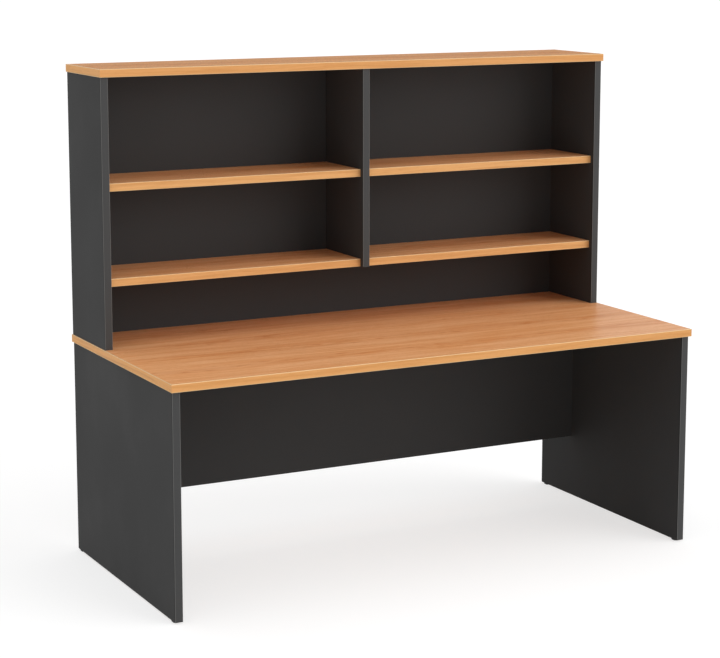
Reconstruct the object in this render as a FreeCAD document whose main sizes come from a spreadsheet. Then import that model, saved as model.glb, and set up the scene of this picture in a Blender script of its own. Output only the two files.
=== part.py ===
import FreeCAD, Part
import os
import re
import Sketcher
from FreeCAD import Placement, Rotation, Vector

# A long student desk with a bookcase hutch standing on its rear half.
#
# Frame: X runs along the desk, -Y is the side the student sits at, +Z is up.
# The origin is on the floor, under the middle of the worktop. Lengths are millimetres.
#
# Everything is cut from melamine-faced board. Each board is its own solid, and so is every strip of
# plastic edging glued to it. Boards are glued edge to face on beech biscuits, which sit in slots cut
# in both boards. The hutch's back slides down grooves in its sides, and the hutch stands on the
# worktop on dowels. Each end panel has a screwed foot near its front and rear corners.

# ------------------------------------------------------------------------------------- sizes

SIZES = [
    ("desk_width", 1830, "worktop, end to end, over its edging"),
    ("desk_depth", 850, "worktop, front to rear, over its edging"),
    ("desk_height", 720, "floor to the worktop's upper face, feet screwed in"),
    ("board_thickness", 25, "worktop, end panels, hutch sides, top, divider and shelves"),
    ("thin_board_thickness", 18, "modesty panel and hutch back"),
    ("edging_thickness", 2, "plastic strip on a board's edge"),
    ("edging_round", 1.8, "rounding of a strip's outer arrises"),
    ("edging_land", 0.1, "least flat left beside a rounding, before the board begins"),
    ("worktop_side_overhang", 5, "worktop beyond the end panels"),
    ("worktop_front_overhang", 10, "worktop beyond the end panels' front edges"),
    ("worktop_rear_overhang", 3, "worktop beyond the end panels' rear edges"),
    ("modesty_rear_setback", 179, "worktop's rear edge to the modesty panel's rear face"),
    ("modesty_floor_gap", 220, "floor to the modesty panel's lower edge"),
    ("hutch_height", 870, "worktop to the hutch's upper face"),
    ("hutch_depth", 310, "hutch top, front to rear, over its edging"),
    ("hutch_top_side_overhang", 3, "hutch top beyond its sides"),
    ("hutch_top_front_overhang", 8, "hutch top beyond its sides' front edges"),
    ("hutch_top_rear_overhang", 2, "hutch top beyond its sides' rear edges"),
    ("shelf_setback", 18, "hutch sides' front edges to the shelves' front edges"),
    ("lower_shelf_gap", 195, "worktop to the underside of the lower shelves"),
    ("lower_bay_height", 272, "clear height between lower and upper shelves"),
    ("back_panel_inset", 12, "hutch sides' rear edges to the back panel's rear face"),
    ("back_groove_depth", 8, "groove that holds the back panel in each hutch side"),
    ("back_groove_clearance", 0.1, "back panel to each face of its groove"),
    ("biscuit_length", 53, "biscuit, tip to tip"),
    ("biscuit_width", 19, "biscuit, half of it in each board"),
    ("biscuit_thickness", 4, "biscuit, swollen tight in its slots"),
    ("biscuit_end_gap", 0.5, "biscuit's curved edges to its slots"),
    ("desk_biscuit_inset", 90, "a desk joint's ends to its outer biscuits' middles"),
    ("hutch_biscuit_inset", 55, "a hutch joint's ends to its biscuits' middles"),
    ("dowel_radius", 4, "beech dowel"),
    ("dowel_length_up", 24, "dowel in a hutch side"),
    ("dowel_length_down", 14, "dowel in the worktop"),
    ("dowel_clearance", 0.1, "dowel to its hole, on the radius"),
    ("dowel_inset", 50, "hutch side's front or rear edge to the nearest dowel"),
    ("foot_height", 5, "floor to the end panels' lower edges, feet screwed in"),
    ("foot_gap", 0.5, "foot base to the panel above it, screwed in"),
    ("foot_inset", 25, "end panel's front or rear edge to a foot's axis"),
    ("foot_base_flats", 24, "hexagonal plastic base, flat to flat, for a spanner"),
    ("foot_base_floor", 1.2, "plastic under the stud"),
    ("foot_base_chamfer", 1.5, "base's lower rim"),
    ("foot_stud_radius", 4, "steel stud over its thread"),
    ("foot_stud_length", 30, "stud above the base"),
    ("foot_stud_press", 0.1, "stud to its socket in the base, on the radius"),
    ("foot_stud_running", 0.1, "stud to its sleeve, on the radius"),
    ("sleeve_radius", 6, "threaded sleeve in an end panel's lower edge"),
    ("sleeve_length", 36, "threaded sleeve, to the bottom of its hole"),
    ("sleeve_clearance", 0.1, "sleeve to its hole, on the radius"),
]

# Places that more than one piece shares, worked out from the sizes. Those along X are on the right
# of the desk, and the left is their mirror.
PLACES = {
    "worktop_side": "desk_width / 2",
    "worktop_front": "-desk_depth / 2",
    "worktop_rear": "desk_depth / 2",
    "worktop_underside": "desk_height - board_thickness",
    "end_panel_outside": "worktop_side - worktop_side_overhang",
    "end_panel_inside": "end_panel_outside - board_thickness",
    "end_panel_middle": "end_panel_outside - board_thickness / 2",
    "end_panel_front": "worktop_front + worktop_front_overhang",
    "end_panel_rear": "worktop_rear - worktop_rear_overhang",
    "modesty_rear": "worktop_rear - modesty_rear_setback",
    "modesty_front": "modesty_rear - thin_board_thickness",
    "modesty_middle": "modesty_rear - thin_board_thickness / 2",
    "hutch_front": "worktop_rear - hutch_depth",
    "hutch_upper_face": "desk_height + hutch_height",
    "hutch_top_underside": "hutch_upper_face - board_thickness",
    "hutch_side_outside": "worktop_side - hutch_top_side_overhang",
    "hutch_side_inside": "hutch_side_outside - board_thickness",
    "hutch_side_middle": "hutch_side_outside - board_thickness / 2",
    "hutch_side_front": "hutch_front + hutch_top_front_overhang",
    "hutch_side_rear": "worktop_rear - hutch_top_rear_overhang",
    "back_panel_rear": "hutch_side_rear - back_panel_inset",
    "back_panel_front": "back_panel_rear - thin_board_thickness",
    "back_groove_floor": "hutch_side_inside + back_groove_depth",
    "divider_face": "board_thickness / 2",
    "shelf_front": "hutch_side_front + shelf_setback",
    "lower_shelf_underside": "desk_height + lower_shelf_gap",
    "lower_shelf_top": "lower_shelf_underside + board_thickness",
    "upper_shelf_underside": "lower_shelf_top + lower_bay_height",
    "upper_shelf_top": "upper_shelf_underside + board_thickness",
    "foot_base_top": "foot_height - foot_gap",
    "foot_base_corner": "foot_base_flats / 3 ^ 0.5",
}

# Functions that a formula may use. The sheet's own expressions know them by the same names.
FUNCTIONS = {"min"}

SIZE = {alias: value for alias, value, meaning in SIZES}

doc = FreeCAD.newDocument("student_desk_with_hutch")
sheet = doc.addObject("Spreadsheet::Sheet", "Sizes")
for row, (alias, value, meaning) in enumerate(SIZES, start=1):
    sheet.set(f"A{row}", meaning)
    sheet.set(f"B{row}", str(value))
    sheet.setAlias(f"B{row}", alias)
doc.recompute()


def formula(text):
    """The expression for a formula written in the words of SIZES and PLACES."""

    def spelt_out(match):
        word = match.group(0)
        if word in FUNCTIONS:
            return word
        if word in SIZE:
            return "Sizes." + word
        return "(" + formula(PLACES[word]) + ")"

    return re.sub(r"[a-z_]+", spelt_out, text)


def bind(thing, name, text):
    """Ties a property, or a sketch's named dimension, to a formula."""
    thing.setExpression(name, formula(text))


# ----------------------------------------------------------------------- bodies and sketches

AXES = "XYZ"
# For each axis, the origin plane square to it, whether that plane's normal points along the axis or
# against it, and the two axes that a sketch on the plane measures its own x and y along.
PLANES = {"X": ("YZ_Plane", 1, "YZ"), "Y": ("XZ_Plane", -1, "XZ"), "Z": ("XY_Plane", 1, "XY")}
HEADINGS = {"X": Vector(1, 0, 0), "Y": Vector(0, 1, 0), "Z": Vector(0, 0, 1)}
START, END, CENTRE = 1, 2, 3
SKETCH_ORIGIN, SKETCH_X, SKETCH_Y = (-1, 1), -1, -2
NEAR = 0.001

nodes = []


def new_body(label, corner=("0", "0", "0")):
    """A body whose own origin lies at corner, three formulas in the desk's frame."""
    body = doc.addObject("PartDesign::Body", label)
    body.Label = label
    for axis, text in zip("xyz", corner):
        bind(body, "Placement.Base." + axis, text)
    return body


def new_sketch(body, name, axis, place=("0", "0", "0")):
    """A sketch square to axis, whose own origin lies at place in the body's axes."""
    role, normal, flat = PLANES[axis]
    plane = next(item for item in body.Origin.OriginFeatures if item.Role == role)
    sketch = body.newObject("Sketcher::SketchObject", f"{body.Name}_{name}")
    sketch.AttachmentSupport = [(plane, "")]
    sketch.MapMode = "FlatFace"
    bind(sketch, "AttachmentOffset.Base.x", place[AXES.index(flat[0])])
    bind(sketch, "AttachmentOffset.Base.y", place[AXES.index(flat[1])])
    bind(sketch, "AttachmentOffset.Base.z", f"{normal} * ({place[AXES.index(axis)]})")
    return sketch


def dimension(sketch, name, text, kind, *geometry, rough=1.0):
    """A named dimension of a sketch, rough at first and then tied to a formula."""
    number = sketch.addConstraint(Sketcher.Constraint(kind, *geometry, rough))
    sketch.renameConstraint(number, name)
    bind(sketch, "Constraints." + name, text)


def add_outline(sketch, corners):
    """A closed outline through corners, each a pair of formulas from the sketch's origin."""
    rough = [Vector(1 + i % 3, i, 0) for i in range(len(corners))]
    for here, there in zip(rough, rough[1:] + rough[:1]):
        sketch.addGeometry(Part.LineSegment(here, there), False)
    for line, (across, up) in enumerate(corners):
        following = (line + 1) % len(corners)
        sketch.addConstraint(Sketcher.Constraint("Coincident", line, END, following, START))
        if across == "0":
            sketch.addConstraint(Sketcher.Constraint("PointOnObject", line, START, SKETCH_Y))
        else:
            dimension(sketch, f"across{line}", across, "DistanceX", *SKETCH_ORIGIN, line, START)
        if up == "0":
            sketch.addConstraint(Sketcher.Constraint("PointOnObject", line, START, SKETCH_X))
        else:
            dimension(sketch, f"up{line}", up, "DistanceY", *SKETCH_ORIGIN, line, START)


def add_rectangle(sketch, wide, tall):
    """A rectangle with one corner at the sketch's origin."""
    add_outline(sketch, [("0", "0"), (wide, "0"), (wide, tall), ("0", tall)])


def add_circle(sketch, radius):
    """A circle about the sketch's origin."""
    circle = sketch.addGeometry(Part.Circle(Vector(0, 0, 0), HEADINGS["Z"], 1), False)
    sketch.addConstraint(Sketcher.Constraint("Coincident", circle, CENTRE, *SKETCH_ORIGIN))
    dimension(sketch, "radius", radius, "Radius", circle)


def add_lens(sketch, gap, upright):
    """A biscuit's outline about the sketch's origin, gap larger all round: two equal arcs that meet
    in tips on the sketch's x, or on its y if it is upright."""
    half_length, half_width = f"(biscuit_length / 2 + {gap})", f"(biscuit_width / 2 + {gap})"
    radius = f"({half_length} ^ 2 + {half_width} ^ 2) / (2 * {half_width})"
    rough_length, rough_width = SIZE["biscuit_length"] / 2, SIZE["biscuit_width"] / 2
    for crown in (rough_width, -rough_width):
        points = [(-rough_length, 0), (0, crown), (rough_length, 0)]
        if upright:
            points = [(y, x) for x, y in points]
        sketch.addGeometry(Part.Arc(*[Vector(x, y, 0) for x, y in points]), False)
    first, second = 0, 1
    rough_radius = sketch.Geometry[first].Radius
    level = "Vertical" if upright else "Horizontal"
    sketch.addConstraint(Sketcher.Constraint("Coincident", first, END, second, START))
    sketch.addConstraint(Sketcher.Constraint("Coincident", second, END, first, START))
    sketch.addConstraint(
        Sketcher.Constraint("Symmetric", first, START, first, END, *SKETCH_ORIGIN)
    )
    sketch.addConstraint(Sketcher.Constraint(level, first, START, first, END))
    sketch.addConstraint(Sketcher.Constraint("Equal", first, second))
    tips = (first, START, first, END)
    dimension(sketch, "length", f"2 * {half_length}", "Distance", *tips, rough=2 * rough_length)
    dimension(sketch, "radius", radius, "Radius", first, rough=rough_radius)


def pad(body, sketch, axis, length):
    """Pads a sketch along +axis."""
    feature = body.newObject("PartDesign::Pad", sketch.Name + "_pad")
    feature.Profile = sketch
    feature.Reversed = PLANES[axis][1] < 0
    bind(feature, "Length", length)


def pocket(body, sketch, axis, depth):
    """Cuts a sketch into the body along +axis."""
    feature = body.newObject("PartDesign::Pocket", sketch.Name + "_pocket")
    feature.Profile = sketch
    feature.Reversed = PLANES[axis][1] > 0
    bind(feature, "Length", depth)


# ------------------------------------------------------------------------- boards and strips


class Board:
    """A board or strip between two opposite corners, padded through its thickness along thin."""

    def __init__(self, label, thin, low, high):
        self.low = low
        self.body = new_body(label, low)
        size = {axis: f"({top}) - ({bottom})" for axis, bottom, top in zip(AXES, low, high)}
        wide, tall = [size[axis] for axis in PLANES[thin][2]]
        sketch = new_sketch(self.body, "outline", thin)
        add_rectangle(sketch, wide, tall)
        pad(self.body, sketch, thin, size[thin])
        nodes.append(self.body)

    def local(self, point):
        """A point in the desk's frame, measured from this board's low corner instead."""
        return tuple(f"({text}) - ({corner})" for text, corner in zip(point, self.low))

    def groove(self, name, low, high):
        """Takes the box between two corners out of the board."""
        wide, tall, deep = [f"({top}) - ({bottom})" for bottom, top in zip(low, high)]
        sketch = new_sketch(self.body, name, "Z", self.local(low))
        add_rectangle(sketch, wide, tall)
        pocket(self.body, sketch, "Z", deep)

    def bore(self, name, x, y, bottom, top, radius):
        """An upright round hole."""
        sketch = new_sketch(self.body, name, "Z", self.local((x, y, bottom)))
        add_circle(sketch, radius)
        pocket(self.body, sketch, "Z", f"({top}) - ({bottom})")

    def slot(self, name, flat, along, point):
        """A slot for a biscuit whose lower face is centred on point."""
        sketch = new_sketch(self.body, name, flat, self.local(point))
        add_lens(sketch, "biscuit_end_gap", upright=along == PLANES[flat][2][1])
        pocket(self.body, sketch, flat, "biscuit_thickness")


def edging(label, outward, low, high):
    """A strip glued to a board. The long arrises of its outward face are rounded, by as much as the
    strip's thickness has room for."""
    sign, axis = outward
    strip = Board(label, axis, low, high)
    doc.recompute()
    square_strip = strip.body.Tip
    edges = square_strip.Shape.Edges

    def reach(vertex):
        return vertex.Point.dot(HEADINGS[axis]) * (1 if sign == "+" else -1)

    outermost = max(reach(vertex) for edge in edges for vertex in edge.Vertexes)
    longest = max(edge.Length for edge in edges)
    arrises = [
        f"Edge{number}"
        for number, edge in enumerate(edges, start=1)
        if edge.Length > longest - NEAR
        and all(reach(vertex) > outermost - NEAR for vertex in edge.Vertexes)
    ]
    rounding = strip.body.newObject("PartDesign::Fillet", label + "_rounding")
    rounding.Base = (square_strip, arrises)
    bind(rounding, "Radius", "min(edging_round; edging_thickness - edging_land)")


def edged_top(label, low, high):
    """A horizontal board with edging all round. The front and rear strips cover the others' ends."""
    (left, front, under), (right, rear, upper) = low, high
    edge = "edging_thickness"
    board_left, board_right = f"{left} + {edge}", f"{right} - {edge}"
    board_front, board_rear = f"{front} + {edge}", f"{rear} - {edge}"
    name = f"{label}_edging"
    edging(f"{name}_front", "-Y", low, (right, board_front, upper))
    edging(f"{name}_rear", "+Y", (left, board_rear, under), high)
    edging(f"{name}_left", "-X", (left, board_front, under), (board_left, board_rear, upper))
    edging(f"{name}_right", "+X", (board_right, board_front, under), (right, board_rear, upper))
    board_low = (board_left, board_front, under)
    return Board(f"{label}_board", "Z", board_low, (board_right, board_rear, upper))


def edged_upright(label, low, high):
    """An upright board, square to X, with edging on its front and rear edges."""
    (left, front, under), (right, rear, upper) = low, high
    board_front, board_rear = f"{front} + edging_thickness", f"{rear} - edging_thickness"
    edging(f"{label}_edging_front", "-Y", low, (right, board_front, upper))
    edging(f"{label}_edging_rear", "+Y", (left, board_rear, under), high)
    return Board(label, "X", (left, board_front, under), (right, board_rear, upper))


SIDES = ("left", "right")


def on_side(side, x):
    """An X on the right of the desk, or its mirror on the left."""
    return x if side == "right" else f"-({x})"


def between(side, inner, outer):
    """The low and the high of two Xs on the right of the desk, or of their mirrors on the left."""
    return (inner, outer) if side == "right" else (f"-({outer})", f"-({inner})")


# --------------------------------------------------------------------- biscuits, dowels, feet


def rod(label, add_section, length):
    """One of a kind, to be copied: a section drawn about the origin and padded up from height 0."""
    body = new_body(label)
    sketch = new_sketch(body, "section", "Z")
    add_section(sketch)
    pad(body, sketch, "Z", length)
    return body


def tube(label, bore, outside, length):
    """One of a kind, to be copied: a turned tube standing on height 0."""
    body = new_body(label)
    sketch = new_sketch(body, "half_section", "Y")
    add_outline(sketch, [(bore, "0"), (outside, "0"), (outside, length), (bore, length)])
    feature = body.newObject("PartDesign::Revolution", label + "_revolution")
    feature.Profile = sketch
    feature.ReferenceAxis = (sketch, ["V_Axis"])
    feature.Angle = 360
    return body


def biscuit_section(sketch):
    add_lens(sketch, "0", upright=False)


def dowel_section(sketch):
    add_circle(sketch, "dowel_radius")


biscuit = rod("biscuit_pattern", biscuit_section, "biscuit_thickness")
dowel = rod("dowel_pattern", dowel_section, "dowel_length_up + dowel_length_down")
stud_passage = "foot_stud_radius + foot_stud_running"
sleeve = tube("sleeve_pattern", stud_passage, "sleeve_radius", "sleeve_length")

groups = {}


def add_copy(group, original, point, up="Z", side="X"):
    """One more of a kind in a group: its origin at point, its Z along up and its X along side."""
    copy = doc.addObject("App::Link", group + "_copy")
    copy.LinkedObject = original
    third = HEADINGS[up].cross(HEADINGS[side])
    turn = Rotation(HEADINGS[side], third, HEADINGS[up], "ZXY")
    copy.Placement = Placement(Vector(0, 0, 0), turn)
    for axis, text in zip("xyz", point):
        bind(copy, "Placement.Base." + axis, text)
    groups.setdefault(group, []).append(copy)


def biscuit_joint(name, group, boards, flat, along, points):
    """Biscuits through the joint between two boards, one about each point.

    flat is the axis square to the biscuits' faces, and their tips lie along the other one."""
    for number, point in enumerate(points, start=1):
        lower_face = list(point)
        lower_face[AXES.index(flat)] += " - biscuit_thickness / 2"
        for board in boards:
            board.slot(f"{name}_slot{number}", flat, along, lower_face)
        add_copy(group, biscuit, lower_face, flat, along)


def foot_base(label, x, y):
    """A hexagonal plastic base with two flats square to X, a chamfered lower rim, and a socket."""
    body = new_body(label, (x, y, "0"))
    half_flats, corner = "foot_base_flats / 2", "foot_base_corner"
    hexagon = [
        ("0", corner),
        (f"-{half_flats}", f"{corner} / 2"),
        (f"-{half_flats}", f"-{corner} / 2"),
        ("0", f"-{corner}"),
        (half_flats, f"-{corner} / 2"),
        (half_flats, f"{corner} / 2"),
    ]
    sketch = new_sketch(body, "section", "Z")
    add_outline(sketch, hexagon)
    pad(body, sketch, "Z", "foot_base_top")
    doc.recompute()
    block = body.Tip
    lower_rim = [
        f"Edge{number}"
        for number, edge in enumerate(block.Shape.Edges, start=1)
        if edge.BoundBox.ZMax < NEAR
    ]
    chamfer = body.newObject("PartDesign::Chamfer", label + "_chamfer")
    chamfer.Base = (block, lower_rim)
    bind(chamfer, "Size", "foot_base_chamfer")
    socket = new_sketch(body, "socket", "Z", ("0", "0", "foot_base_floor"))
    add_circle(socket, "foot_stud_radius + foot_stud_press")
    pocket(body, socket, "Z", "foot_base_top - foot_base_floor")
    nodes.append(body)


def foot_stud(label, x, y):
    """A steel stud, over its thread, standing in its base's socket."""
    body = new_body(label, (x, y, "foot_base_floor"))
    sketch = new_sketch(body, "section", "Z")
    add_circle(sketch, "foot_stud_radius")
    pad(body, sketch, "Z", "foot_stud_length + foot_base_top - foot_base_floor")
    nodes.append(body)


# -------------------------------------------------------------------------------------- desk

worktop = edged_top(
    "worktop",
    ("-worktop_side", "worktop_front", "worktop_underside"),
    ("worktop_side", "worktop_rear", "desk_height"),
)

# The modesty panel hangs between the end panels, clear of the floor.
modesty_board_edge = "modesty_floor_gap + edging_thickness"
edging(
    "modesty_panel_edging",
    "-Z",
    ("-end_panel_inside", "modesty_front", "modesty_floor_gap"),
    ("end_panel_inside", "modesty_rear", modesty_board_edge),
)
modesty = Board(
    "modesty_panel",
    "Y",
    ("-end_panel_inside", "modesty_front", modesty_board_edge),
    ("end_panel_inside", "modesty_rear", "worktop_underside"),
)
across_modesty = [
    "desk_biscuit_inset - end_panel_inside",
    "0",
    "end_panel_inside - desk_biscuit_inset",
]
biscuit_joint(
    "worktop",
    "desk_biscuits",
    (modesty, worktop),
    "Y",
    "X",
    [(x, "modesty_middle", "worktop_underside") for x in across_modesty],
)

for side in SIDES:
    low_x, high_x = between(side, "end_panel_inside", "end_panel_outside")
    end_panel = edged_upright(
        f"end_panel_{side}",
        (low_x, "end_panel_front", "foot_height"),
        (high_x, "end_panel_rear", "worktop_underside"),
    )
    along_panel = [
        "end_panel_front + desk_biscuit_inset",
        "(end_panel_front + end_panel_rear) / 2",
        "end_panel_rear - desk_biscuit_inset",
    ]
    middle = on_side(side, "end_panel_middle")
    biscuit_joint(
        "worktop",
        "desk_biscuits",
        (end_panel, worktop),
        "X",
        "Y",
        [(middle, y, "worktop_underside") for y in along_panel],
    )
    down_modesty = [
        "modesty_floor_gap + desk_biscuit_inset",
        "worktop_underside - desk_biscuit_inset",
    ]
    biscuit_joint(
        "modesty",
        "desk_biscuits",
        (modesty, end_panel),
        "Y",
        "Z",
        [(on_side(side, "end_panel_inside"), "modesty_middle", z) for z in down_modesty],
    )
    rows = {"front": "end_panel_front + foot_inset", "rear": "end_panel_rear - foot_inset"}
    for row, y in rows.items():
        hole_top = "foot_height + sleeve_length"
        hole_radius = "sleeve_radius + sleeve_clearance"
        end_panel.bore(f"{row}_sleeve", middle, y, "foot_height", hole_top, hole_radius)
        add_copy("foot_sleeves", sleeve, (middle, y, "foot_height"))
        foot_base(f"foot_base_{row}_{side}", middle, y)
        foot_stud(f"foot_stud_{row}_{side}", middle, y)

# ------------------------------------------------------------------------------------- hutch

hutch_top = edged_top(
    "hutch_top",
    ("-worktop_side", "hutch_front", "hutch_top_underside"),
    ("worktop_side", "worktop_rear", "hutch_upper_face"),
)

# The divider hangs from the hutch top and ends level with the undersides of the lower shelves.
divider_board_front = "hutch_side_front + edging_thickness"
divider_board_edge = "lower_shelf_underside + edging_thickness"
edging(
    "hutch_divider_edging_front",
    "-Y",
    ("-divider_face", "hutch_side_front", "lower_shelf_underside"),
    ("divider_face", divider_board_front, "hutch_top_underside"),
)
edging(
    "hutch_divider_edging_lower",
    "-Z",
    ("-divider_face", divider_board_front, "lower_shelf_underside"),
    ("divider_face", "back_panel_front", divider_board_edge),
)
divider = Board(
    "hutch_divider",
    "X",
    ("-divider_face", divider_board_front, divider_board_edge),
    ("divider_face", "back_panel_front", "hutch_top_underside"),
)
biscuit_joint(
    "top",
    "hutch_biscuits",
    (divider, hutch_top),
    "X",
    "Y",
    [("0", "hutch_side_front + hutch_biscuit_inset", "hutch_top_underside"),
     ("0", "back_panel_front - hutch_biscuit_inset", "hutch_top_underside")],
)

# The back panel stands on the worktop, behind the divider and the shelves.
back_panel_end = "back_groove_floor - back_groove_clearance"
Board(
    "hutch_back_panel",
    "Y",
    (f"-({back_panel_end})", "back_panel_front", "desk_height"),
    (back_panel_end, "back_panel_rear", "hutch_top_underside"),
)

for side in SIDES:
    low_x, high_x = between(side, "hutch_side_inside", "hutch_side_outside")
    hutch_side = edged_upright(
        f"hutch_side_{side}",
        (low_x, "hutch_side_front", "desk_height"),
        (high_x, "hutch_side_rear", "hutch_top_underside"),
    )
    low_x, high_x = between(side, "hutch_side_inside", "back_groove_floor")
    hutch_side.groove(
        "back_groove",
        (low_x, "back_panel_front - back_groove_clearance", "desk_height"),
        (high_x, "back_panel_rear + back_groove_clearance", "hutch_top_underside"),
    )
    middle = on_side(side, "hutch_side_middle")
    biscuit_joint(
        "top",
        "hutch_biscuits",
        (hutch_side, hutch_top),
        "X",
        "Y",
        [(middle, "hutch_side_front + hutch_biscuit_inset", "hutch_top_underside"),
         (middle, "back_panel_front - hutch_biscuit_inset", "hutch_top_underside")],
    )
    for y in ("hutch_side_front + dowel_inset", "hutch_side_rear - dowel_inset"):
        dowel_foot, dowel_head = "desk_height - dowel_length_down", "desk_height + dowel_length_up"
        hole_radius = "dowel_radius + dowel_clearance"
        worktop.bore("dowel", middle, y, dowel_foot, "desk_height", hole_radius)
        hutch_side.bore("dowel", middle, y, "desk_height", dowel_head, hole_radius)
        add_copy("hutch_dowels", dowel, (middle, y, dowel_foot))

    low_x, high_x = between(side, "divider_face", "hutch_side_inside")
    for level in ("upper", "lower"):
        underside, top = f"{level}_shelf_underside", f"{level}_shelf_top"
        shelf_board_front = "shelf_front + edging_thickness"
        edging(
            f"shelf_{level}_{side}_edging",
            "-Y",
            (low_x, "shelf_front", underside),
            (high_x, shelf_board_front, top),
        )
        shelf = Board(
            f"shelf_{level}_{side}",
            "Z",
            (low_x, shelf_board_front, underside),
            (high_x, "back_panel_front", top),
        )
        for upright, face in ((hutch_side, "hutch_side_inside"), (divider, "divider_face")):
            face_x = on_side(side, face)
            mid_height = f"{underside} + board_thickness / 2"
            biscuit_joint(
                f"{level}_shelf",
                "hutch_biscuits",
                (shelf, upright),
                "Z",
                "Y",
                [(face_x, "shelf_front + hutch_biscuit_inset", mid_height),
                 (face_x, "back_panel_front - hutch_biscuit_inset", mid_height)],
            )

# --------------------------------------------------------------------------- check and write

for label, copies in groups.items():
    group = doc.addObject("Part::Compound", label)
    group.Label = label
    group.Links = copies
    nodes.append(group)

doc.recompute()
for thing in doc.Objects:
    if "Invalid" in thing.State or "Error" in thing.State:
        raise RuntimeError(f"{thing.Label} did not build: {thing.State}")
    if thing.TypeId == "PartDesign::Pocket":
        if thing.Shape.Volume >= thing.BaseFeature.Shape.Volume:
            raise RuntimeError(f"{thing.Label} cuts nothing")
for node in nodes:
    pieces = len(groups.get(node.Label, ["one piece"]))
    if node.Shape.isNull() or not node.Shape.isValid() or len(node.Shape.Solids) != pieces:
        raise RuntimeError(f"{node.Label} is not {pieces} sound solids")
if len({node.Label for node in nodes}) != len(nodes):
    raise RuntimeError("two nodes share a name")

os.makedirs("parts", exist_ok=True)
for node in nodes:
    node.Shape.exportStep(f"parts/{node.Label}.step")
print(f"wrote {len(nodes)} nodes")
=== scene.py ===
# %% [markdown]
# # A student desk with a hutch
# The desk is made of flat boards: pale printed cherry for the surfaces that carry things, and
# charcoal for everything that stands upright. Every board is chipboard with a thin melamine
# skin, and each cut edge that shows is closed with a plastic strip. The boards, the strips and
# the feet come ready made as the frame. This script gives them their finishes, cuts the threads
# on the levelling studs, and sets up a white studio round them.

# %% Load the frame
import math

import bmesh
import bpy
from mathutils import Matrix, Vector


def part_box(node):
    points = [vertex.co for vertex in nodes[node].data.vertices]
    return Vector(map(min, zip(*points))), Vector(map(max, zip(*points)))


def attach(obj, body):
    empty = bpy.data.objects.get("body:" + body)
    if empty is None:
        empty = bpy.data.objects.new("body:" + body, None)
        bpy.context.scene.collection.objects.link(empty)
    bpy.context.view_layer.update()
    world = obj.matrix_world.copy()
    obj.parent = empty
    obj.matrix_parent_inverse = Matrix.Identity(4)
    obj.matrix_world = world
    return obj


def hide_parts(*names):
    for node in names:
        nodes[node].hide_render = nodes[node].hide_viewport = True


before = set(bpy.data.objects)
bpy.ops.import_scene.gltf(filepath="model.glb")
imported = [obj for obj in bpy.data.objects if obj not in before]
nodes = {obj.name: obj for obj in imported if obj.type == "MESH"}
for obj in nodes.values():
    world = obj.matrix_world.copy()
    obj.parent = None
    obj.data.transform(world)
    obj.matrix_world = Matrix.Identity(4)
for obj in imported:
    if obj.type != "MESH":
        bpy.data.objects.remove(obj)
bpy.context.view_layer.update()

# %% [markdown]
# ## The camera
# The desk is seen from its left front corner, from a little above eye height and nearly seven
# metres off, through a long lens. A long lens keeps the uprights nearly parallel. The camera is
# tipped down a little, and a small shift of the lens does the rest of the framing.

# %% Camera
IMAGE_WIDTH = 720
SENSOR_WIDTH = 36.0
FOCAL_PIXELS = 2030.2
CAMERA_PLACE = Vector((-3.0503, -5.7183, 1.9841))
CAMERA_TURN = -0.4781
CAMERA_TIP = 0.1595
LENS_SHIFT = -0.09

camera_data = bpy.data.cameras.new("studio_camera")
camera_data.sensor_width = SENSOR_WIDTH
camera_data.lens = FOCAL_PIXELS * SENSOR_WIDTH / IMAGE_WIDTH
camera_data.shift_y = LENS_SHIFT
camera_data.clip_end = 200.0
camera = bpy.data.objects.new("studio_camera", camera_data)
camera.location = CAMERA_PLACE
camera.rotation_euler = (math.pi / 2 - CAMERA_TIP, 0.0, CAMERA_TURN)
bpy.context.scene.collection.objects.link(camera)
bpy.context.scene.camera = camera
print(f"lens {camera_data.lens:.1f} mm, {CAMERA_PLACE.length:.2f} m from the floor under the desk")

# %% [markdown]
# ## Wiring nodes
# A procedural material is a small circuit of nodes. Written out in full, each wire takes a line
# of its own, so a helper does three things at once: it adds a node, sets what the node is told,
# and joins every input that is given another node's output. The same helper builds a material
# and a node group, because both hold the same kind of tree.

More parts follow.
